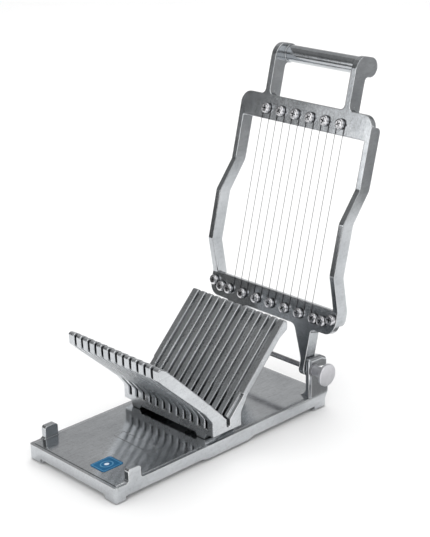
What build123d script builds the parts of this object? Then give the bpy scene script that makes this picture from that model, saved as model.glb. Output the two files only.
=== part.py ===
"""Wire slicer for cheese: cast base, ribbed V cradle and a hinged frame of twelve cutting wires.

X is across the slicer, Y runs from the front edge to the hinge and Z is up. The frame stands open,
leaning back on the stops of the ears. The pieces are drawn about a point on the table under the centre
of the base, and written about a point on the table under the middle of the whole open slicer.
"""
from build123d import *
from math import atan2, cos, degrees, radians, sin
import os

# ---------------------------------------------------------------- driving dimensions (mm, degrees)
WIRE_COUNT = 12
WIRE_PITCH = 9.525
WIRE_R = 0.28
LACE_R = WIRE_PITCH / 2

BASE_W = 122.0
BASE_L = 264.4
PLATE_TOP = 16.0
PLATE_T = 4.0
SKIRT_T = 4.0
SKIRT_BOTTOM = 4.8
SKIRT_MIDDLE_BOTTOM = 2.8
BORDER_W = 3.2
BORDER_DROP = 0.5
FOOT_W = 17.5
FRONT_FOOT_L = 13.5
REAR_FOOT_L = 18.0
FOOT_BOTTOM = 1.0
PAD_R = 5.5
PAD_T = 4.0
PAD_WEB_T = 1.2
PAD_SCREW_R = 1.5
PAD_SCREW_HEAD_R = 2.8

TAB_T = 5.5
TAB_TOP = 28.0
TAB_FRONT = -117.2
TAB_REAR = -103.2
TAB_FOOT_R = 2.2
BADGE_FRAME = (8.5, -63.7, 49.0, 12.0)
BADGE_LINE_W = 0.6
BADGE_LINE_H = 0.3
LABEL = (21.7, -109.4, 19.5, 23.7)
LABEL_T = 0.25

PIVOT_Y = 114.6
PIVOT_Z = 44.2
LEAN = 15.0
ROD_R = 2.5
RUNNING_GAP = 0.05
SLOT_ANGLE = -11.0
EAR_FRONT = 109.1
EAR_REAR = 137.0
EAR_INNER_X = 56.0
EAR_OUTER_X = 61.0
EAR_CORNER_R = 3.0
STOP_INNER_X = 49.5
STOP_GAP = 0.3
FLARE_W = 12.0
FLARE_H = 14.0
FLARE_L = 19.0

CRADLE_W = 124.0
SLOT_W = 3.0
SLOT_FLOOR_Z = 27.5
VEE_Y = 1.2
VEE_Z = 33.5
VEE_GROOVE_W = 4.7
VEE_GROOVE_Z = 25.8
RIB_EDGE_R = 1.3
CHEEK_STEP_W = 4.0
CHEEK_STEP_LENGTH = 26.5
CHEEK_STEP_DROP = 1.65
PEDESTAL_FRONT = -18.4
PEDESTAL_REAR = 17.2
CRADLE_SIDE_Z = 21.6
ARCH_TOP_Z = 20.0
CRADLE_SCREW_X = 45.0
CRADLE_SCREW_Y = 11.0
BOSS_T = 3.0
BOSS_R = 6.5
RIB_Y = 28.0

# Frame sizes are measured from the hinge: "up" along the wires and "out" towards the front face.
FACE_OUT = 8.2
FRAME_W = 168.0
RAIL_T = 6.0
BAR_T = 6.5
BAR_CORNER_R = 12.0
BOTTOM_BAR_UP = 38.8
TOP_BAR_UP = 222.8
BAR_H = 24.0
BOTTOM_SCREW_UP = 50.1
TOP_SCREW_UP = 233.5
INNER_ANCHOR_X = 67.8
OUTER_ANCHOR_X = 78.7
OUTER_ANCHOR_UP = 54.0
LEG_OUTER_X = 55.5
LEG_INNER_X = 49.5
LEG_BACK_OUT = -4.3
BUSHING_R = 4.0
BUSHING_FLANGE_R = 5.2
HANDLE_OUTER_X = 54.0
HANDLE_INNER_X = 48.0
ARM_FLARE_R = 5.0
HEAD_UP = 288.8
HEAD_OUT = -12.3
HEAD_R = 9.5
GRIP_R = 8.3

SCREW_HEAD_R = 5.1
SCREW_HEAD_T = 3.4
SCREW_DOME = 0.55
SCREW_SHANK_R = 2.4
SCREW_HOLE_R = 2.5
SCREW_BITE = 5.8
CROSS_L = 5.4
CROSS_W = 1.1
CROSS_DEPTH = 1.8
SPOOL_R = 4.4
SPOOL_T = 1.0

WASHER_R = 6.0
WASHER_T = 1.0
NUT_FLATS = 9.0
NUT_T = 4.0
KNOB_R = 11.0
KNOB_T = 3.4
KNOB_NECK_R = 5.0
KNOB_FACE_X = 79.5
KNOB_GAP = 0.2
INSERT_R = 3.7
ROD_END_X = 74.0

# ---------------------------------------------------------------- derived places
UP_DIR = (0, sin(radians(LEAN)), cos(radians(LEAN)))
OUT_DIR = (0, -cos(radians(LEAN)), sin(radians(LEAN)))
HINGE = Plane(origin=(0, PIVOT_Y, PIVOT_Z), x_dir=(1, 0, 0), z_dir=OUT_DIR)
FACE = HINGE.offset(FACE_OUT)
LACE_PLANE = FACE.offset(SPOOL_T / 2)
WIRE_X = [(i - (WIRE_COUNT - 1) / 2) * WIRE_PITCH for i in range(WIRE_COUNT)]
TOP_SCREWS = [(x + WIRE_PITCH / 2, TOP_SCREW_UP) for x in WIRE_X[::2]]
BOTTOM_SCREWS = [(x - WIRE_PITCH / 2, BOTTOM_SCREW_UP) for x in WIRE_X[::2]]
BOTTOM_SCREWS.append((WIRE_X[-1] + WIRE_PITCH / 2, BOTTOM_SCREW_UP))
ANCHORS = [
    (-OUTER_ANCHOR_X, OUTER_ANCHOR_UP), (-INNER_ANCHOR_X, BOTTOM_SCREW_UP),
    (INNER_ANCHOR_X, BOTTOM_SCREW_UP), (OUTER_ANCHOR_X, OUTER_ANCHOR_UP),
]
SIDES = (-1, 1)
CRADLE_SCREWS = [(sx * CRADLE_SCREW_X, sy * CRADLE_SCREW_Y) for sx in SIDES for sy in SIDES]
FOOT_X = (BASE_W - FOOT_W) / 2
FRONT_FOOT_Y = (FRONT_FOOT_L - BASE_L) / 2
REAR_FOOT_Y = (BASE_L - REAR_FOOT_L) / 2
PADS = [(side * FOOT_X, y) for side in SIDES for y in (FRONT_FOOT_Y, REAR_FOOT_Y)]
PLATE_UNDER = PLATE_TOP - PLATE_T
BOSS_Z = PLATE_UNDER - BOSS_T
GRIP_REAR_Y = PIVOT_Y + HEAD_UP * sin(radians(LEAN)) - HEAD_OUT * cos(radians(LEAN)) + HEAD_R
MIDDLE_Y = (GRIP_REAR_Y - BASE_L / 2) / 2

os.makedirs("parts", exist_ok=True)


# ---------------------------------------------------------------- helpers
def section(x):
    """Plane across the slicer at x, drawn in (Y, Z)."""
    return Plane(origin=(x, 0, 0), x_dir=(0, 1, 0), z_dir=(1, 0, 0))


def frame_section(x):
    """Plane across the frame at x, drawn in (up, out) from the hinge."""
    return Plane(origin=(x, PIVOT_Y, PIVOT_Z), x_dir=UP_DIR, z_dir=(1, 0, 0))


def hinge_section(x):
    """Plane across the pivot rod at x, with the rod's axis at its origin."""
    return Plane(origin=(x, PIVOT_Y, PIVOT_Z), x_dir=(0, 1, 0), z_dir=(1, 0, 0))


def outline(corners):
    """Add the face inside the closed line through (a, b, corner radius) triples."""
    points = [(a, b) for a, b, _ in corners]
    radii = [radius for _, _, radius in corners]
    with BuildSketch(mode=Mode.PRIVATE) as drawing:
        with BuildLine():
            FilletPolyline(*points, radius=radii, close=True)
        make_face()
    add(drawing.sketch_local)


def mirrored(corners):
    """The same corners on the other side of the vertical axis of their plane."""
    return [(-a, b, radius) for a, b, radius in corners]


def write(piece, name):
    """Place a finished piece about the middle of the slicer, label it and write its STEP file."""
    placed = piece.part.moved(Location((0, -MIDDLE_Y, 0)))
    placed.label = name
    export_step(placed, f"parts/{name}.step")


def pan_screws(name, plane, places, head_r, head_t, shank_r, shank_l, turn):
    """Cross-recessed pan head screws whose heads sit on the plane at the places."""
    with BuildPart() as screws:
        with BuildSketch(plane):
            with Locations(*places):
                Circle(head_r)
        extrude(amount=head_t)
        facing = Axis(plane.origin, plane.z_dir)
        fillet(screws.edges().group_by(facing)[-1], head_t * SCREW_DOME)
        with BuildSketch(plane):
            with Locations(*places):
                Circle(shank_r)
        extrude(amount=-shank_l)
        spots = [Location((a, b, 0), (0, 0, turn * i)) for i, (a, b) in enumerate(places)]
        with BuildSketch(plane.offset(head_t)):
            with Locations(*spots):
                Rectangle(head_r * CROSS_L / SCREW_HEAD_R, CROSS_W)
                Rectangle(CROSS_W, head_r * CROSS_L / SCREW_HEAD_R)
        extrude(amount=-CROSS_DEPTH, mode=Mode.SUBTRACT)
    write(screws, name)


def rings(name, plane, places, outer_r, inner_r, thickness):
    """Flat rings standing on the plane at the places."""
    with BuildPart() as ring_set:
        with BuildSketch(plane):
            with Locations(*places):
                Circle(outer_r)
                Circle(inner_r, mode=Mode.SUBTRACT)
        extrude(amount=thickness)
    write(ring_set, name)


# ---------------------------------------------------------------- base casting
def base_shell():
    """Plate with a lower border, skirts and an open underside."""
    side_skirt = [
        (-32, SKIRT_BOTTOM + 2, 0), (34, SKIRT_BOTTOM + 2, 0), (34, SKIRT_BOTTOM, 0),
        (27, SKIRT_MIDDLE_BOTTOM, 4), (-25, SKIRT_MIDDLE_BOTTOM, 4), (-32, SKIRT_BOTTOM, 0),
    ]
    with BuildPart() as shell:
        with BuildSketch(Plane.XY.offset(SKIRT_BOTTOM)):
            RectangleRounded(BASE_W, BASE_L, 2.5)
        extrude(amount=PLATE_TOP - BORDER_DROP - SKIRT_BOTTOM)
        with BuildSketch(Plane.XY.offset(PLATE_TOP - BORDER_DROP)):
            RectangleRounded(BASE_W - 2 * BORDER_W, BASE_L - 2 * BORDER_W, 1.5)
        extrude(amount=BORDER_DROP)
        for side in SIDES:
            with BuildSketch(section(side * BASE_W / 2)):
                outline(side_skirt)
            extrude(amount=-side * SKIRT_T)
        with BuildSketch(Plane.XY):
            RectangleRounded(BASE_W - 2 * SKIRT_T, BASE_L - 2 * SKIRT_T, 2)
        extrude(amount=PLATE_UNDER, mode=Mode.SUBTRACT)
    return shell.part


def base_feet():
    """Corner feet, two cross ribs and the bosses of the cradle screws."""
    with BuildPart() as feet:
        with BuildSketch(Plane.XY.offset(FOOT_BOTTOM)):
            with Locations(*[(side * FOOT_X, FRONT_FOOT_Y) for side in SIDES]):
                RectangleRounded(FOOT_W, FRONT_FOOT_L, 2.5)
            with Locations(*[(side * FOOT_X, REAR_FOOT_Y) for side in SIDES]):
                RectangleRounded(FOOT_W, REAR_FOOT_L, 2.5)
        extrude(amount=PLATE_UNDER - FOOT_BOTTOM)
        with BuildSketch(Plane.XY.offset(BOSS_Z)):
            with Locations(*CRADLE_SCREWS):
                Circle(BOSS_R)
            with Locations((0, -RIB_Y), (0, RIB_Y)):
                Rectangle(BASE_W - SKIRT_T, BOSS_T)
        extrude(amount=BOSS_T)
    return feet.part


def base_tabs():
    """Upright tabs at the front that the closed frame rests on."""
    tab = [
        (TAB_FRONT - TAB_FOOT_R, PLATE_UNDER, 0), (TAB_REAR + TAB_FOOT_R, PLATE_UNDER, 0),
        (TAB_REAR + TAB_FOOT_R, PLATE_TOP, 0), (TAB_REAR, PLATE_TOP, TAB_FOOT_R * 0.98),
        (TAB_REAR, TAB_TOP, 3.5), (TAB_FRONT, TAB_TOP, 2.5),
        (TAB_FRONT, PLATE_TOP, TAB_FOOT_R * 0.98), (TAB_FRONT - TAB_FOOT_R, PLATE_TOP, 0),
    ]
    with BuildPart() as tabs:
        for side in SIDES:
            with BuildSketch(section(side * BASE_W / 2)):
                outline(tab)
            extrude(amount=-side * TAB_T)
    return tabs.part


def right_ear():
    """Right rear ear: a post with a rod slot open to the rear, a frame stop and a foot fillet."""
    low_rear = BASE_L / 2 + 0.6
    post = [
        (EAR_FRONT, PLATE_UNDER, 0), (EAR_FRONT, 55.8, 2.5), (118, 55.3, 0), (127.5, 55.1, 5),
        (134.6, 51.0, 4), (134.6, 42.0, 1), (EAR_REAR, 37.0, 2), (EAR_REAR, 15.0, 4),
        (low_rear, 8.0, 2), (low_rear, FOOT_BOTTOM, 0), (118, FOOT_BOTTOM, 0), (118, PLATE_UNDER, 0),
    ]
    stop_out = LEG_BACK_OUT - STOP_GAP
    stop = [(7.2, stop_out, 1), (12.0, stop_out, 1), (12.0, -16.0, 1), (7.2, -16.0, 1)]
    corner = (EAR_INNER_X + 0.5, PLATE_TOP - 0.5)
    inner = (EAR_INNER_X - FLARE_W, PLATE_TOP - 0.5)
    upper = (EAR_INNER_X + 0.5, PLATE_TOP + FLARE_H)
    with BuildPart() as ear:
        with BuildSketch(section(EAR_INNER_X)):
            outline(post)
        extrude(amount=EAR_OUTER_X - EAR_INNER_X)
        rear_corner = ear.edges().filter_by(Axis.Z).group_by(Axis.Y)[-1].group_by(Axis.X)[-1]
        fillet(rear_corner, EAR_CORNER_R)
        with BuildSketch(frame_section(STOP_INNER_X)):
            outline(stop)
        extrude(amount=EAR_INNER_X - STOP_INNER_X + 1)
        with BuildSketch(Plane.XZ.offset(-EAR_FRONT)):
            with BuildLine():
                Line(corner, inner)
                TangentArc(inner, upper, tangent=(1, 0))
                Line(upper, corner)
            make_face()
        extrude(amount=-FLARE_L)
        with BuildSketch(section(0)):
            with Locations(Location((PIVOT_Y, PIVOT_Z, 0), (0, 0, SLOT_ANGLE))):
                Circle(ROD_R + RUNNING_GAP)
            with Locations(Location((PIVOT_Y, PIVOT_Z, 0), (0, 0, SLOT_ANGLE))):
                Rectangle(BASE_W, 2 * (ROD_R + RUNNING_GAP), align=(Align.MIN, Align.CENTER))
        extrude(amount=BASE_W, mode=Mode.SUBTRACT)
    return ear.part


def make_base():
    ear = right_ear()
    x, y, width, length = BADGE_FRAME
    with BuildPart() as base:
        add(base_shell())
        add(base_feet())
        add(base_tabs())
        add(ear)
        mirror(ear, about=Plane.YZ)
        with BuildSketch(Plane.XY.offset(PLATE_TOP)):
            with Locations((x, y)):
                Rectangle(width, length)
                Rectangle(width - 2 * BADGE_LINE_W, length - 2 * BADGE_LINE_W, mode=Mode.SUBTRACT)
        extrude(amount=BADGE_LINE_H)
        for places, radius, depth in (
            (CRADLE_SCREWS, SCREW_HOLE_R, PLATE_TOP + 1),
            (PADS, PAD_R + 0.1, PAD_T),
            (PADS, PAD_SCREW_R, PLATE_UNDER - 1),
        ):
            with BuildSketch(Plane.XY):
                with Locations(*places):
                    Circle(radius)
            extrude(amount=depth, mode=Mode.SUBTRACT)
    write(base, "base_casting")


def make_pads():
    with BuildPart() as pads:
        with BuildSketch(Plane.XY):
            with Locations(*PADS):
                Circle(PAD_R)
                Circle(PAD_SCREW_R, mode=Mode.SUBTRACT)
        extrude(amount=PAD_T)
        with BuildSketch(Plane.XY):
            with Locations(*PADS):
                Circle(PAD_SCREW_HEAD_R + 0.1)
        extrude(amount=PAD_T - PAD_WEB_T, mode=Mode.SUBTRACT)
        bottom_rims = pads.edges().filter_by(GeomType.CIRCLE).group_by(Axis.Z)[0]
        fillet(bottom_rims.group_by(SortBy.RADIUS)[-1], 0.5)
    write(pads, "foot_pads")
    seat = Plane(origin=(0, 0, PAD_T - PAD_WEB_T), x_dir=(1, 0, 0), z_dir=(0, 0, -1))
    places = [(x, -y) for x, y in PADS]
    pan_screws("foot_screws", seat, places, PAD_SCREW_HEAD_R, 1.6, PAD_SCREW_R - 0.05, 6.5, 20)


def make_label():
    x, y, width, length = LABEL
    with BuildPart() as label:
        with BuildSketch(Plane.XY.offset(PLATE_TOP)):
            with Locations((x, y)):
                RectangleRounded(width, length, 2.6)
        extrude(amount=LABEL_T)
    write(label, "base_label")


# ---------------------------------------------------------------- cradle casting
def cradle_side():
    """Draw the side view of the cradle: two legs at 45 degrees on a pedestal."""
    outline([
        (VEE_Y, VEE_Z, 0), (-71.0, 105.7, 7), (-76.5, 108.6, 3), (-79.8, 107.6, 2),
        (-79.6, 97.4, 2), (-72.5, 90.2, 6), (-27.0, 47.4, 9), (PEDESTAL_FRONT, 36.0, 7),
        (PEDESTAL_FRONT, CRADLE_SIDE_Z, 1), (PEDESTAL_REAR, CRADLE_SIDE_Z, 1),
        (PEDESTAL_REAR, 35.0, 9), (26.0, 48.9, 9), (68.5, 91.4, 5), (78.8, 97.6, 3),
        (79.0, 104.6, 3), (75.2, 107.5, 2),
    ])


def make_cradle():
    with BuildPart() as cradle:
        with BuildSketch(section(-CRADLE_W / 2)):
            cradle_side()
        extrude(amount=CRADLE_W)
        # Slots for the wires, down to the floor that joins the ribs.
        with BuildSketch(Plane.XY.offset(SLOT_FLOOR_Z)):
            with GridLocations(WIRE_PITCH, 1, WIRE_COUNT, 1):
                Rectangle(SLOT_W, 200)
        extrude(amount=100, mode=Mode.SUBTRACT)
        # Rounded rib edges along the inside of both legs.
        inside = cradle.edges().filter_by(GeomType.LINE).filter_by(
            lambda e: abs(abs((e % 0.5).Z) - abs((e % 0.5).Y)) < 0.01
            and abs(e.center().Z - VEE_Z - abs(e.center().Y - VEE_Y)) < 0.5
            and e.length > 50
        )
        fillet(inside, RIB_EDGE_R)
        # Groove along the bottom of the V.
        with BuildSketch(section(-CRADLE_W)):
            with Locations((VEE_Y - 0.75, VEE_GROOVE_Z + 10)):
                RectangleRounded(VEE_GROOVE_W, 20, VEE_GROOVE_W / 2 - 0.05)
        extrude(amount=2 * CRADLE_W, mode=Mode.SUBTRACT)
        # Lower step on the outside of the end ribs, next to the V.
        step = CHEEK_STEP_LENGTH + CHEEK_STEP_DROP
        low_z = VEE_Z - CHEEK_STEP_DROP * 2 * sin(radians(45))
        for side in SIDES:
            with BuildSketch(section(side * CRADLE_W / 2)):
                with Locations(Location((VEE_Y, low_z, 0), (0, 0, 45))):
                    Rectangle(step, step, align=(Align.MIN, Align.MIN))
            extrude(amount=-side * CHEEK_STEP_W, mode=Mode.SUBTRACT)
        # Feet under the front and rear walls, with an arch between them.
        depth = PEDESTAL_REAR - PEDESTAL_FRONT
        with BuildSketch(Plane.XZ.offset(-PEDESTAL_FRONT)):
            outline([
                (-52.5, CRADLE_SIDE_Z + 1, 0), (-49.5, PLATE_TOP, 0), (-40.4, PLATE_TOP, 0),
                (-38.0, ARCH_TOP_Z, 1), (38.0, ARCH_TOP_Z, 1), (40.4, PLATE_TOP, 0),
                (49.5, PLATE_TOP, 0), (52.5, CRADLE_SIDE_Z + 1, 0),
            ])
        extrude(amount=-depth)
        with BuildSketch(Plane.XY.offset(PLATE_TOP)):
            with Locations(*CRADLE_SCREWS):
                Circle(SCREW_HOLE_R)
        extrude(amount=SLOT_FLOOR_Z - PLATE_TOP - 1.5, mode=Mode.SUBTRACT)
    write(cradle, "cradle_casting")


def make_cradle_fasteners():
    under = Plane(origin=(0, 0, BOSS_Z), x_dir=(1, 0, 0), z_dir=(0, 0, -1))
    rings("cradle_washers", under, CRADLE_SCREWS, SCREW_HEAD_R + 0.6, SCREW_HOLE_R, WASHER_T)
    seat = under.offset(WASHER_T)
    shank_l = SLOT_FLOOR_Z - 2.0 - BOSS_Z + WASHER_T
    pan_screws("cradle_screws", seat, CRADLE_SCREWS, 4.6, 3.0, SCREW_SHANK_R, shank_l, 35)


# ---------------------------------------------------------------- wire frame casting
def frame_bars():
    """Top and bottom bars, each with two rounded corners."""
    half = FRAME_W / 2
    low, high = BOTTOM_BAR_UP, BOTTOM_BAR_UP + BAR_H
    bottom = [(-half, high, 0), (half, high, 0), (half, low, BAR_CORNER_R), (-half, low, BAR_CORNER_R)]
    low, high = TOP_BAR_UP, TOP_BAR_UP + BAR_H
    top = [(-half, low, 0), (half, low, 0), (half, high, BAR_CORNER_R), (-half, high, BAR_CORNER_R)]
    with BuildPart() as bars:
        with BuildSketch(FACE):
            outline(bottom)
            outline(top)
        extrude(amount=-BAR_T)
    return bars.part


def frame_rails():
    """Side rails that step forward around the cradle."""
    back = LEG_BACK_OUT - 1.5
    rail = [
        (BOTTOM_SCREW_UP - 1, FACE_OUT, 0), (62.8, FACE_OUT, 8), (95.8, 22.7, 8), (145.8, 22.7, 8),
        (177.8, FACE_OUT, 8), (236.5, FACE_OUT, 1), (236.5, back + 0.5, 5), (177.8, back + 0.5, 8),
        (145.8, 8.7, 8), (95.8, 8.7, 8), (62.8, back, 8), (BOTTOM_SCREW_UP - 1, back, 6),
    ]
    with BuildPart() as rails:
        for side in SIDES:
            with BuildSketch(frame_section(side * (FRAME_W / 2 - RAIL_T))):
                outline(rail)
            extrude(amount=side * RAIL_T)
    return rails.part


def frame_legs():
    """Tapered legs from the bottom bar down to the hinge."""
    front_view = [
        (24.6, BOTTOM_BAR_UP + 2, 0), (24.6, BOTTOM_BAR_UP, 0), (33.5, BOTTOM_BAR_UP, 8),
        (LEG_INNER_X, 8.0, 10), (LEG_INNER_X, -10, 0), (LEG_OUTER_X, -10, 0),
        (LEG_OUTER_X, BOTTOM_BAR_UP, 4), (63, BOTTOM_BAR_UP, 0), (63, BOTTOM_BAR_UP + 2, 0),
    ]
    side_view = [
        (BOTTOM_BAR_UP + 2, FACE_OUT, 0), (-7.2, FACE_OUT, 7), (-7.2, -6.6, 6), (2.5, -6.6, 3),
        (6.2, LEG_BACK_OUT, 3), (BOTTOM_BAR_UP + 2, LEG_BACK_OUT, 0),
    ]
    with BuildPart() as legs:
        with BuildSketch(FACE.offset(1)):
            outline(front_view)
            outline(mirrored(front_view))
        extrude(amount=-20)
        with BuildSketch(frame_section(-FRAME_W / 2)):
            outline(side_view)
        extrude(amount=FRAME_W, mode=Mode.INTERSECT)
    return legs.part


def frame_handle():
    """Handle arms with round heads, and the grip between them."""
    base_up = TOP_BAR_UP + BAR_H - 3
    top_up = HEAD_UP + HEAD_R
    bar_top = TOP_BAR_UP + BAR_H
    flare = ARM_FLARE_R
    flared_foot = [
        (HANDLE_INNER_X - flare, base_up, 0), (HANDLE_OUTER_X + flare, base_up, 0),
        (HANDLE_OUTER_X + flare, bar_top, 0), (HANDLE_OUTER_X, bar_top, flare * 0.98),
        (HANDLE_OUTER_X, bar_top + flare, 0), (HANDLE_INNER_X, bar_top + flare, 0),
        (HANDLE_INNER_X, bar_top, flare * 0.98), (HANDLE_INNER_X - flare, bar_top, 0),
    ]
    arm = [
        (base_up, FACE_OUT, 0), (top_up, FACE_OUT, 13), (top_up, HEAD_OUT - HEAD_R, HEAD_R - 0.02),
        (HEAD_UP - HEAD_R, HEAD_OUT - HEAD_R, HEAD_R - 0.02), (HEAD_UP - HEAD_R, -7.1, 4),
        (base_up, -7.1, 0),
    ]
    with BuildPart() as handle:
        for side in SIDES:
            with BuildSketch(frame_section(side * HANDLE_INNER_X)):
                outline(arm)
            extrude(amount=side * (HANDLE_OUTER_X - HANDLE_INNER_X))
        with BuildSketch(frame_section(-HANDLE_INNER_X)):
            with Locations((HEAD_UP, HEAD_OUT)):
                Circle(GRIP_R)
        extrude(amount=2 * HANDLE_INNER_X)
        # Flared feet where the arms leave the top bar.
        with BuildSketch(FACE):
            outline(flared_foot)
            outline(mirrored(flared_foot))
        extrude(amount=-BAR_T)
    return handle.part


def make_frame():
    with BuildPart() as frame:
        add(frame_bars())
        add(frame_rails())
        add(frame_legs())
        add(frame_handle())
        with BuildSketch(FACE):
            with Locations(*TOP_SCREWS, *BOTTOM_SCREWS, *ANCHORS):
                Circle(SCREW_HOLE_R)
        extrude(amount=-SCREW_BITE - 0.4, mode=Mode.SUBTRACT)
        with BuildSketch(hinge_section(-FRAME_W / 2)):
            Circle(BUSHING_R)
        extrude(amount=FRAME_W, mode=Mode.SUBTRACT)
    write(frame, "wire_frame")


def make_bushings():
    """Plain bushings pressed into the legs, with their flanges inside."""
    for name, side in (("left_pivot_bushing", -1), ("right_pivot_bushing", 1)):
        with BuildPart() as bushing:
            with BuildSketch(hinge_section(side * LEG_INNER_X)):
                Circle(BUSHING_R)
            extrude(amount=side * (LEG_OUTER_X - LEG_INNER_X))
            with BuildSketch(hinge_section(side * LEG_INNER_X)):
                Circle(BUSHING_FLANGE_R)
            extrude(amount=-side * WASHER_T)
            with BuildSketch(hinge_section(-FRAME_W / 2)):
                Circle(ROD_R + RUNNING_GAP)
            extrude(amount=FRAME_W, mode=Mode.SUBTRACT)
        write(bushing, name)


# ---------------------------------------------------------------- cutting wire
def lace_end(side):
    """One end of the lace: from the outer anchor, under the inner one, to the first wire."""
    rise = OUTER_ANCHOR_UP - BOTTOM_SCREW_UP
    tilt = degrees(atan2(rise, OUTER_ANCHOR_X - INNER_ANCHOR_X))
    shift_x = LACE_R * sin(radians(tilt))
    drop = LACE_R * cos(radians(tilt))
    last_x = side * BOTTOM_SCREWS[-1][0]
    outer_x = side * OUTER_ANCHOR_X
    inner_x = side * INNER_ANCHOR_X
    below = -90
    CenterArc((last_x, BOTTOM_SCREW_UP), LACE_R, 90 + side * 90, side * 90)
    Line((last_x, BOTTOM_SCREW_UP - LACE_R), (inner_x, BOTTOM_SCREW_UP - LACE_R))
    CenterArc((inner_x, BOTTOM_SCREW_UP), LACE_R, below, side * tilt)
    Line(
        (inner_x + side * shift_x, BOTTOM_SCREW_UP - drop),
        (outer_x + side * shift_x, OUTER_ANCHOR_UP - drop),
    )
    CenterArc((outer_x, OUTER_ANCHOR_UP), LACE_R, below + side * tilt, side * (180 - tilt))


def make_wire():
    with BuildPart() as wire:
        with BuildLine(LACE_PLANE) as lace:
            for x in WIRE_X:
                Line((x, BOTTOM_SCREW_UP), (x, TOP_SCREW_UP))
            for x, up in TOP_SCREWS:
                CenterArc((x, up), LACE_R, 0, 180)
            for x, up in BOTTOM_SCREWS[1:-1]:
                CenterArc((x, up), LACE_R, 180, 180)
            for side in SIDES:
                lace_end(side)
        path = lace.wires()[0]
        with BuildSketch(Plane(origin=path @ 0, z_dir=path % 0)):
            Circle(WIRE_R)
        sweep(path=path)
    write(wire, "cutting_wire")


def make_frame_fasteners():
    head_seat = FACE.offset(SPOOL_T)
    shank_l = SCREW_BITE + SPOOL_T
    groups = (("top_wire", TOP_SCREWS, 40), ("bottom_wire", BOTTOM_SCREWS, 55), ("anchor", ANCHORS, 30))
    for name, places, turn in groups:
        pan_screws(
            f"{name}_screws", head_seat, places, SCREW_HEAD_R, SCREW_HEAD_T, SCREW_SHANK_R, shank_l, turn
        )
        rings(f"{name}_spools", FACE, places, SPOOL_R, SCREW_HOLE_R, SPOOL_T)


# ---------------------------------------------------------------- pivot rod and clamp knob
def make_rod():
    nut_x = -EAR_OUTER_X - WASHER_T
    rod_start = nut_x - NUT_T - 1.0
    with BuildPart() as rod:
        with BuildSketch(hinge_section(rod_start)):
            Circle(ROD_R)
        extrude(amount=ROD_END_X - rod_start)
        chamfer(rod.edges().filter_by(GeomType.CIRCLE), 0.5)
    write(rod, "pivot_rod")
    with BuildPart() as nut:
        with BuildSketch(hinge_section(nut_x)):
            RegularPolygon(NUT_FLATS / 2, 6, major_radius=False)
            Circle(ROD_R, mode=Mode.SUBTRACT)
        extrude(amount=-NUT_T)
    write(nut, "rod_nut")
    rings("rod_nut_washer", hinge_section(nut_x), [(0, 0)], WASHER_R, ROD_R, WASHER_T)
    rings("knob_washer", hinge_section(EAR_OUTER_X), [(0, 0)], WASHER_R, ROD_R, WASHER_T)


def make_knob():
    neck_x = EAR_OUTER_X + WASHER_T + KNOB_GAP
    with BuildPart() as knob:
        with BuildSketch(hinge_section(neck_x)):
            Circle(KNOB_NECK_R)
        extrude(amount=KNOB_FACE_X - neck_x)
        with BuildSketch(hinge_section(KNOB_FACE_X - KNOB_T)):
            Circle(KNOB_R)
        extrude(amount=KNOB_T)
        fillet(knob.edges().filter_by(GeomType.CIRCLE).group_by(SortBy.RADIUS)[-1], 0.9)
        with BuildSketch(hinge_section(neck_x)):
            Circle(INSERT_R)
        extrude(amount=ROD_END_X + 1 - neck_x, mode=Mode.SUBTRACT)
    write(knob, "clamp_knob")
    insert_l = ROD_END_X + 1 - neck_x
    rings("knob_insert", hinge_section(neck_x), [(0, 0)], INSERT_R, ROD_R + RUNNING_GAP, insert_l)


make_base()
make_pads()
make_label()
make_cradle()
make_cradle_fasteners()
make_frame()
make_bushings()
make_wire()
make_frame_fasteners()
make_rod()
make_knob()
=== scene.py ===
"""Looks of the wire slicer: rounded castings, polished fasteners, label and a pale studio."""

import math

import bmesh
import bpy
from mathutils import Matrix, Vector


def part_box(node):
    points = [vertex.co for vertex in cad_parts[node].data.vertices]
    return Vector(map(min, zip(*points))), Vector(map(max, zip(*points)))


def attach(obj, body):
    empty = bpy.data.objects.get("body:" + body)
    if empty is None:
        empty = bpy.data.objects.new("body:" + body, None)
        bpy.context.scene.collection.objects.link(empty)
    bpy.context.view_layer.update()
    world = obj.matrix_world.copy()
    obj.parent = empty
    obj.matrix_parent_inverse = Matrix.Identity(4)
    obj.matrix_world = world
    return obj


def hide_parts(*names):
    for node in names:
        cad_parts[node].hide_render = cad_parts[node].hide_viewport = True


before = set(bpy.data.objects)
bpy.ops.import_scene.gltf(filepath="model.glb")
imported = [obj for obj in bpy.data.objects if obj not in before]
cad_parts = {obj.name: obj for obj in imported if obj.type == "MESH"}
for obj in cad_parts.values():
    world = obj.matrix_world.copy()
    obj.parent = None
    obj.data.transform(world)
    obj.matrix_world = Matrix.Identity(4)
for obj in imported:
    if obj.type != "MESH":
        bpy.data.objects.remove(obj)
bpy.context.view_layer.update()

MM = 0.001

# How far the materials soften an edge and paint shade into a corner, a screw's surroundings or a rib
# slot.
EDGE_SOFTNESS = 1.0 * MM
CREVICE_REACH = 5.0 * MM
SCREW_REACH = CREVICE_REACH / 2
SLOT_REACH = 5.5 * MM

# How the castings are rounded. EDGE_ROOM is the shortest neighbouring edge, in rounding widths.
BASE_ROUNDING = 0.5 * MM
FRAME_ROUNDING = 0.45 * MM
ROUNDING_SEGMENTS = 3
MERGE_DISTANCE = 0.001 * MM
FLAT_ANGLE = math.radians(0.5)
SHARP_ANGLE = math.radians(32)
EDGE_ROOM = 2.4

# Tones that the metals share: a painted highlight along sharp edges, partly worn polish, and painted
# shade for crevices.
EDGE_WEAR_AND_HIGHLIGHT = (0.95, 0.96, 0.97)
CASTING_PAINTED_SHADE = (0.05, 0.052, 0.056)
SCREW_PAINTED_SHADE = (0.03, 0.03, 0.033)

# The camera, lights and cards stand about the point on the floor under the middle of the base,
# which is midway between the cradle screws.
SCREWS_LOW, SCREWS_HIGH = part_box("cradle_screws")
MIDDLE = (SCREWS_LOW + SCREWS_HIGH) / 2
MIDDLE.z = 0

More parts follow.
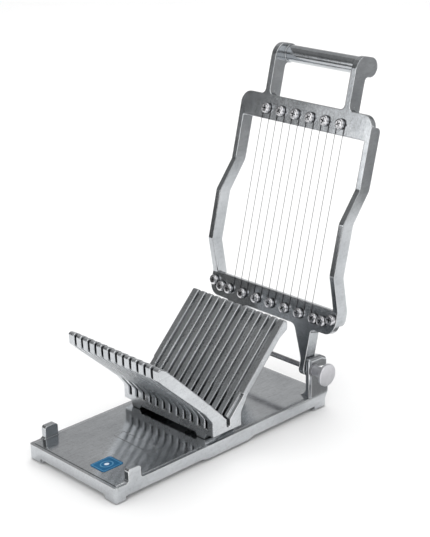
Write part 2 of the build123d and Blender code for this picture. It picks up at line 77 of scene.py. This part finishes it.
# ---------------------------------------------------------------- camera (metres, degrees)
CAMERA_PLACE = MIDDLE + Vector((0.8880, -0.7819, 0.6038))
CAMERA_AZIMUTH = 46.97
CAMERA_ELEVATION = 20.47
CAMERA_ROLL = -1.59
CAMERA_LENS = 94.06
SENSOR_WIDTH = 36.0


def make_camera():
    """Camera turned by the azimuth, tilted down by the elevation and rolled a little."""
    azimuth = math.radians(CAMERA_AZIMUTH)
    elevation = math.radians(CAMERA_ELEVATION)
    roll = math.radians(CAMERA_ROLL)
    forward = Vector((
        -math.sin(azimuth) * math.cos(elevation),
        math.cos(azimuth) * math.cos(elevation),
        -math.sin(elevation),
    ))
    right = Vector((math.cos(azimuth), math.sin(azimuth), 0))
    up = right.cross(forward)
    right_rolled = right * math.cos(roll) + up * math.sin(roll)
    up_rolled = up * math.cos(roll) - right * math.sin(roll)
    data = bpy.data.cameras.new("camera")
    data.lens = CAMERA_LENS
    data.sensor_width = SENSOR_WIDTH
    data.sensor_fit = "AUTO"
    data.clip_end = 50
    camera = bpy.data.objects.new("camera", data)
    bpy.context.scene.collection.objects.link(camera)
    matrix = camera.matrix_world.copy()
    for row in range(3):
        matrix[row][0] = right_rolled[row]
        matrix[row][1] = up_rolled[row]
        matrix[row][2] = -forward[row]
        matrix[row][3] = CAMERA_PLACE[row]
    camera.matrix_world = matrix
    bpy.context.scene.camera = camera


# ---------------------------------------------------------------- node helpers
class Nodes:
    """Short calls for building one material's node tree."""

    def __init__(self, name):
        self.material = bpy.data.materials.new(name)
        self.material.use_nodes = True
        self.tree = self.material.node_tree
        self.tree.nodes.clear()
        self.output = self.add("ShaderNodeOutputMaterial")
        self.shader = self.add("ShaderNodeBsdfPrincipled")
        self.link(self.shader.outputs[0], self.output.inputs["Surface"])

    def add(self, kind, **settings):
        node = self.tree.nodes.new(kind)
        for key, value in settings.items():
            setattr(node, key, value)
        return node

    def link(self, source, target):
        self.tree.links.new(source, target)

    def coordinates(self):
        return self.add("ShaderNodeTexCoord").outputs["Object"]

    def scaled(self, scale, turn=(0, 0, 0)):
        """Object coordinates multiplied by scale, a number for each axis."""
        mapping = self.add("ShaderNodeMapping")
        mapping.inputs["Scale"].default_value = scale
        mapping.inputs["Rotation"].default_value = [math.radians(a) for a in turn]
        self.link(self.coordinates(), mapping.inputs["Vector"])
        return mapping.outputs[0]

    def noise(self, vector, scale, detail=3.0, roughness=0.55):
        node = self.add("ShaderNodeTexNoise")
        node.inputs["Scale"].default_value = scale
        node.inputs["Detail"].default_value = detail
        node.inputs["Roughness"].default_value = roughness
        self.link(vector, node.inputs["Vector"])
        return node.outputs["Fac"]

    def ramp(self, factor, stops):
        """Colour ramp with stops of (position, grey or (r, g, b))."""
        node = self.add("ShaderNodeValToRGB")
        elements = node.color_ramp.elements
        while len(elements) < len(stops):
            elements.new(0.5)
        for element, (position, colour) in zip(elements, stops):
            element.position = position
            rgb = colour if isinstance(colour, tuple) else (colour, colour, colour)
            element.color = (*rgb, 1)
        self.link(factor, node.inputs["Fac"])
        return node.outputs["Color"]

    def mix(self, factor, first, second, blend="MIX"):
        """Mixed colour of two colours or sockets; factor is a number or a socket."""
        node = self.add("ShaderNodeMix", data_type="RGBA", blend_type=blend)
        for name, value in ((0, factor), (6, first), (7, second)):
            if hasattr(value, "links"):
                self.link(value, node.inputs[name])
            elif name == 0:
                node.inputs[name].default_value = value
            else:
                node.inputs[name].default_value = (*value, 1)
        return node.outputs[2]

    def math(self, operation, first, second=0.0):
        node = self.add("ShaderNodeMath", operation=operation)
        for index, value in enumerate((first, second)):
            if hasattr(value, "links"):
                self.link(value, node.inputs[index])
            else:
                node.inputs[index].default_value = value
        return node.outputs[0]

    def bump(self, height, strength, distance, normal=None):
        node = self.add("ShaderNodeBump")
        node.inputs["Strength"].default_value = strength
        node.inputs["Distance"].default_value = distance
        self.link(height, node.inputs["Height"])
        if normal is not None:
            self.link(normal, node.inputs["Normal"])
        return node.outputs[0]

    def soft_edges(self, radius):
        """Normal that turns smoothly over sharp edges."""
        node = self.add("ShaderNodeBevel", samples=8)
        node.inputs["Radius"].default_value = radius
        return node.outputs[0]

    def edge_mask(self, rounded):
        """Where the edge highlight is painted: 1 on sharp edges, where the rounded normal leaves the true
        one, else 0.
        """
        geometry = self.add("ShaderNodeNewGeometry")
        facing = self.add("ShaderNodeVectorMath", operation="DOT_PRODUCT")
        self.link(rounded, facing.inputs[0])
        self.link(geometry.outputs["Normal"], facing.inputs[1])
        return self.ramp(facing.outputs["Value"], [(0.93, 0.95), (0.995, 0.0)])

    def painted_shade_mask(self, reach):
        """Where shade is painted: up to 0.88 in corners and gaps narrower than reach, 0 in the open."""
        node = self.add("ShaderNodeAmbientOcclusion", samples=12)
        node.inputs["Distance"].default_value = reach
        return self.ramp(node.outputs["AO"], [(0.28, 0.88), (0.75, 0.0)])

    def surface(self, colour=None, roughness=None, normal=None, **plain):
        """Connect the shader's colour, roughness and normal, and set its plain sockets."""
        for name, value in (("Base Color", colour), ("Roughness", roughness), ("Normal", normal)):
            if value is not None:
                self.link(value, self.shader.inputs[name])
        for name, value in plain.items():
            self.shader.inputs[name.replace("_", " ")].default_value = value
        return self.material


# ---------------------------------------------------------------- materials
def cast_metal(name, dark, light, rough_low, rough_high, grain, reach):
    """Tumbled cast aluminium: cloudy tone, streaks, fine pits, painted shade in crevices and painted
    highlights on edges, partly worn polish.
    """
    n = Nodes(name)
    place = n.coordinates()
    cloud = n.noise(place, 24, 5, 0.6)
    streak = n.noise(n.scaled((9, 1.2, 9), (0, 0, 12)), 60, 4, 0.6)
    tone = n.ramp(cloud, [(0.3, dark), (0.7, light)])
    shade = n.ramp(streak, [(0.3, 0.86), (0.7, 1.0)])
    pits = n.ramp(n.noise(place, 420, 4, 0.65), [(0.30, 0.84), (0.48, 1.0)])
    colour = n.mix(1.0, n.mix(1.0, tone, shade, "MULTIPLY"), pits, "MULTIPLY")
    rounded = n.soft_edges(EDGE_SOFTNESS)
    # Painted highlight along sharp edges, partly worn polish.
    colour = n.mix(n.edge_mask(rounded), colour, EDGE_WEAR_AND_HIGHLIGHT)
    # Painted shade in corners, gaps and rib slots.
    colour = n.mix(n.painted_shade_mask(reach), colour, CASTING_PAINTED_SHADE)
    dull = n.ramp(n.noise(place, 55, 5), [(0.3, rough_low), (0.72, rough_high)])
    fine = n.ramp(streak, [(0.3, rough_low), (0.7, rough_high)])
    rough = n.mix(0.35, dull, fine)
    pebble = n.bump(n.noise(place, 800, 3, 0.6), grain, 0.0002, rounded)
    waves = n.bump(n.noise(place, 60, 2), grain, 0.0010, pebble)
    return n.surface(colour, rough, waves, Metallic=1.0)


def polished_metal(name, dark, light, rough_low, rough_high, scale=(1, 1, 1)):
    """Machined bright metal with fine scratches along one direction and painted shade in crevices."""
    n = Nodes(name)
    scratch = n.noise(n.scaled(scale), 600, 4, 0.7)
    tone = n.ramp(n.noise(n.coordinates(), 120, 3), [(0.3, dark), (0.7, light)])
    # Painted shade in corners and gaps, such as around a screw head.
    colour = n.mix(n.painted_shade_mask(SCREW_REACH), tone, SCREW_PAINTED_SHADE)
    rough = n.ramp(scratch, [(0.3, rough_low), (0.7, rough_high)])
    normal = n.bump(scratch, 0.12, 0.0001)
    return n.surface(colour, rough, normal, Metallic=1.0)


def rubber(name):
    """Matt black rubber with a fine grain."""
    n = Nodes(name)
    place = n.coordinates()
    colour = n.ramp(n.noise(place, 200, 3), [(0.3, 0.02), (0.7, 0.045)])
    rough = n.ramp(n.noise(place, 500, 2), [(0.3, 0.7), (0.7, 0.9)])
    return n.surface(colour, rough, n.bump(n.noise(place, 900, 2), 0.3, 0.0002))


def moulded(name):
    """Pale moulded plastic, faintly uneven."""
    n = Nodes(name)
    place = n.coordinates()
    colour = n.ramp(n.noise(place, 150, 3), [(0.3, (0.74, 0.72, 0.67)), (0.7, (0.84, 0.82, 0.77))])
    rough = n.ramp(n.noise(place, 400, 2), [(0.3, 0.4), (0.7, 0.55)])
    return n.surface(colour, rough, n.bump(n.noise(place, 700, 2), 0.15, 0.0002))


def label_film(name):
    """Blue film with a pale ring around a small pale centre and a pale line near its edge."""
    low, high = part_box("base_label")
    centre = (low + high) / 2
    half = (high - low) / 2
    n = Nodes(name)
    mapping = n.add("ShaderNodeMapping")
    mapping.inputs["Location"].default_value = (-centre.x, -centre.y, -centre.z)
    n.link(n.coordinates(), mapping.inputs["Vector"])
    axes = n.add("ShaderNodeSeparateXYZ")
    n.link(mapping.outputs[0], axes.inputs[0])
    x = n.math("MULTIPLY", axes.outputs["X"], 1 / half.x)
    y = n.math("MULTIPLY", axes.outputs["Y"], 1 / half.y)
    radius = n.math("SQRT", n.math("ADD", n.math("POWER", x, 2), n.math("POWER", y, 2)))
    reach = n.math("MAXIMUM", n.math("ABSOLUTE", x), n.math("ABSOLUTE", y))
    ring = n.math("COMPARE", radius, 0.50)
    ring.node.inputs[2].default_value = 0.05
    border = n.math("COMPARE", reach, 0.86)
    border.node.inputs[2].default_value = 0.03
    blue = n.ramp(n.noise(n.coordinates(), 90, 3), [(0.3, (0.0, 0.09, 0.22)), (0.7, (0.001, 0.12, 0.27))])
    patterned = n.mix(n.math("MULTIPLY", n.math("MAXIMUM", ring, border), 0.5), blue, (0.20, 0.48, 0.70))
    middle = n.math("LESS_THAN", radius, 0.2)
    colour = n.mix(middle, patterned, (0.72, 0.82, 0.92))
    rough = n.ramp(n.noise(n.coordinates(), 300, 2), [(0.3, 0.38), (0.7, 0.5)])
    normal = n.bump(n.noise(n.coordinates(), 160, 2), 0.1, 0.0002)
    return n.surface(colour, rough, normal, Specular_IOR_Level=0.25)


def pale_paint(name, low, high):
    """Matt painted board between two greys."""
    n = Nodes(name)
    colour = n.ramp(n.noise(n.coordinates(), 3, 2), [(0.3, low), (0.7, high)])
    rough = n.ramp(n.noise(n.coordinates(), 40, 2), [(0.3, 0.6), (0.7, 0.7)])
    return n.surface(colour, rough, Specular_IOR_Level=0.1)


# ---------------------------------------------------------------- pieces
def rounded_copy(node, body, width, material):
    """Copy of a CAD casting that stands for its node, with the roomy sharp edges rounded.

    The other sharp edges stay as they are, and only the material softens them.
    """
    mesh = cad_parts[node].data.copy()
    mesh.name = node + "_look"
    mesh.materials.clear()
    mesh.materials.append(material)
    bm = bmesh.new()
    bm.from_mesh(mesh)
    bmesh.ops.remove_doubles(bm, verts=bm.verts, dist=MERGE_DISTANCE)
    bmesh.ops.dissolve_limit(
        bm, angle_limit=FLAT_ANGLE, verts=bm.verts, edges=bm.edges, delimit={"NORMAL"}
    )
    # An edge is rounded only where the edges around its ends leave room for the new faces.
    shortest = EDGE_ROOM * width
    roomy = {v for v in bm.verts if all(e.calc_length() > shortest for e in v.link_edges)}
    edges = [e for e in bm.edges if e.calc_face_angle(0) > SHARP_ANGLE and roomy.issuperset(e.verts)]
    bmesh.ops.bevel(
        bm,
        geom=edges,
        offset=width,
        offset_type="OFFSET",
        segments=ROUNDING_SEGMENTS,
        profile=0.5,
        affect="EDGES",
    )
    # The rounding leaves some corners twice in one place, which would make faces of no size.
    bmesh.ops.remove_doubles(bm, verts=bm.verts, dist=MERGE_DISTANCE)
    bm.to_mesh(mesh)
    bm.free()
    mesh.shade_smooth()
    mesh.set_sharp_from_angle(angle=SHARP_ANGLE)
    piece = bpy.data.objects.new(node + "_look", mesh)
    bpy.context.scene.collection.objects.link(piece)
    weighted = piece.modifiers.new("normals", "WEIGHTED_NORMAL")
    weighted.keep_sharp = True
    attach(piece, body)
    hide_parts(node)


def dress(node, material):
    """Give a CAD node its material."""
    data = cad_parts[node].data
    data.materials.clear()
    data.materials.append(material)


# ---------------------------------------------------------------- studio
# What bright metal sees in each direction: (direction, inner degrees, outer degrees, grey). The
# patches are placed for the camera above.
ROOM_BASE = 0.24
ROOM_PALE = 0.99
FLOOR_HALF = 12.0
ROOM_PATCHES = [
    ((-0.69, -0.34, 0.64), 24, 36, 0.25),
    ((-0.85, -0.50, 0.12), 18, 34, 0.13),
    ((-0.69, 0.64, 0.17), 12, 25, 0.58),
    ((-0.36, -0.92, 0.12), 17.5, 20, 2.10),
    ((-0.65, 0.30, 0.70), 9, 18, 0.45),
    ((0.67, -0.33, 0.63), 16, 38, 1.30),
    ((0.10, 0.20, 0.97), 12, 30, 1.50),
    ((0.69, 0.70, 0.15), 20, 40, 0.30),
]


def room_world():
    """World that is evenly pale, except for bright metal, which mirrors soft patches in it."""
    world = bpy.data.worlds.new("room")
    world.use_nodes = True
    tree = world.node_tree
    tree.nodes.clear()
    link = tree.links.new
    output = tree.nodes.new("ShaderNodeOutputWorld")
    background = tree.nodes.new("ShaderNodeBackground")
    coordinate = tree.nodes.new("ShaderNodeTexCoord")
    level = None
    for direction, inner, outer, grey in ROOM_PATCHES:
        facing = tree.nodes.new("ShaderNodeVectorMath")
        facing.operation = "DOT_PRODUCT"
        facing.inputs[1].default_value = Vector(direction).normalized()
        spread = tree.nodes.new("ShaderNodeMapRange")
        spread.interpolation_type = "SMOOTHSTEP"
        spread.inputs["From Min"].default_value = math.cos(math.radians(outer))
        spread.inputs["From Max"].default_value = math.cos(math.radians(inner))
        mix = tree.nodes.new("ShaderNodeMix")
        mix.inputs["A"].default_value = ROOM_BASE
        mix.inputs["B"].default_value = grey
        link(coordinate.outputs["Generated"], facing.inputs[0])
        link(facing.outputs["Value"], spread.inputs["Value"])
        link(spread.outputs["Result"], mix.inputs["Factor"])
        if level is not None:
            link(level, mix.inputs["A"])
        level = mix.outputs["Result"]
    path = tree.nodes.new("ShaderNodeLightPath")
    seen = tree.nodes.new("ShaderNodeMix")
    seen.inputs["A"].default_value = ROOM_PALE
    link(path.outputs["Is Glossy Ray"], seen.inputs["Factor"])
    link(level, seen.inputs["B"])
    link(seen.outputs["Result"], background.inputs["Color"])
    link(background.outputs[0], output.inputs["Surface"])
    background.inputs["Strength"].default_value = 1.0
    bpy.context.scene.world = world


def area_light(name, place, target, size, power):
    """Soft light for the floor and dull surfaces that bright metal doesn't mirror."""
    data = bpy.data.lights.new(name, "AREA")
    data.shape = "RECTANGLE"
    data.size, data.size_y = size
    data.energy = power
    light = bpy.data.objects.new(name, data)
    bpy.context.scene.collection.objects.link(light)
    light.location = MIDDLE + Vector(place)
    direction = Vector(target) - Vector(place)
    light.rotation_euler = direction.to_track_quat("-Z", "Y").to_euler()
    light.visible_glossy = False


def stage_sheet(name, corners, material):
    """Flat stage piece with the given corners, counted from the middle of the base."""
    mesh = bpy.data.meshes.new(name)
    mesh.from_pydata([MIDDLE + Vector(c) for c in corners], [], [tuple(range(len(corners)))])
    mesh.materials.append(material)
    sheet = bpy.data.objects.new(name, mesh)
    bpy.context.scene.collection.objects.link(sheet)
    return sheet


def dark_card(name, corners, grey):
    """Card that only mirrored rays meet."""
    card = stage_sheet(name, corners, pale_paint(name + "_paint", grey, grey * 1.1))
    card.visible_camera = False
    card.visible_diffuse = False
    card.visible_shadow = False


def upright(start, end, low, high):
    """Corners of an upright rectangle from start to end on the floor plan."""
    return [(*start, low), (*end, low), (*end, high), (*start, high)]


def studio():
    """Pale floor, soft lights and dark cards beside it."""
    floor_corners = [(FLOOR_HALF * x, FLOOR_HALF * y, 0) for x, y in ((-1, -1), (1, -1), (1, 1), (-1, 1))]
    stage_sheet("floor", floor_corners, pale_paint("floor_paint", 0.93, 0.95))
    dark_card("rear_card", upright((0.72, 0.19), (0.12, 0.75), 0.05, 0.75), 0.38)
    dark_card("front_card", upright((-1.10, -0.10), (-0.10, -1.00), 0.0, 0.28), 0.11)
    side_corners = [(0.08, 0.10, 0.001), (0.15, 0.10, 0.001), (0.15, 0.27, 0.001), (0.08, 0.27, 0.001)]
    dark_card("side_card", side_corners, 0.24)
    room_world()
    area_light("key", (-0.7, 1.0, 2.0), (0, 0, 0.1), (1.5, 1.5), 12)
    area_light("fill", (1.2, -1.4, 1.8), (0, 0, 0.1), (1.8, 1.8), 7)
    bpy.context.scene.view_settings.view_transform = "Standard"
    bpy.context.scene.view_settings.look = "None"


make_camera()
studio()

castings = cast_metal(
    "cast_aluminium", (0.54, 0.56, 0.58), (0.68, 0.70, 0.72), 0.10, 0.20, 0.04, CREVICE_REACH
)
ribbed = cast_metal(
    "cradle_aluminium", (0.56, 0.58, 0.60), (0.72, 0.74, 0.76), 0.22, 0.36, 0.03, SLOT_REACH
)
framing = cast_metal(
    "frame_aluminium", (0.42, 0.44, 0.46), (0.62, 0.64, 0.66), 0.11, 0.20, 0.08, CREVICE_REACH
)
chrome = polished_metal("screw_chrome", (0.62, 0.62, 0.64), (0.76, 0.76, 0.78), 0.12, 0.24)
steel = polished_metal("hidden_steel", (0.40, 0.40, 0.42), (0.55, 0.55, 0.57), 0.25, 0.40)
rod_steel = polished_metal("rod_steel", (0.30, 0.30, 0.32), (0.42, 0.42, 0.44), 0.22, 0.36, (0.1, 1, 1))
wire_steel = polished_metal("wire_steel", (0.13, 0.13, 0.14), (0.18, 0.18, 0.19), 0.3, 0.45)
knob_metal = polished_metal("knob_aluminium", (0.72, 0.72, 0.75), (0.84, 0.84, 0.87), 0.36, 0.50)
brass = polished_metal("insert_brass", (0.55, 0.40, 0.16), (0.70, 0.52, 0.24), 0.25, 0.40)
pad_rubber = rubber("pad_rubber")
bushing_plastic = moulded("bushing_plastic")

rounded_copy("base_casting", "base", BASE_ROUNDING, castings)
rounded_copy("cradle_casting", "base", BASE_ROUNDING, ribbed)
rounded_copy("wire_frame", "frame", FRAME_ROUNDING, framing)

for node, material in {
    "base_casting": castings,
    "cradle_casting": ribbed,
    "wire_frame": framing,
    "foot_pads": pad_rubber,
    "foot_screws": steel,
    "cradle_screws": steel,
    "cradle_washers": steel,
    "base_label": label_film("label_film"),
    "pivot_rod": rod_steel,
    "rod_nut": steel,
    "rod_nut_washer": steel,
    "knob_washer": steel,
    "cutting_wire": wire_steel,
    "top_wire_screws": chrome,
    "bottom_wire_screws": chrome,
    "anchor_screws": chrome,
    "top_wire_spools": steel,
    "bottom_wire_spools": steel,
    "anchor_spools": steel,
    "left_pivot_bushing": bushing_plastic,
    "right_pivot_bushing": bushing_plastic,
    "clamp_knob": knob_metal,
    "knob_insert": brass,
}.items():
    dress(node, material)
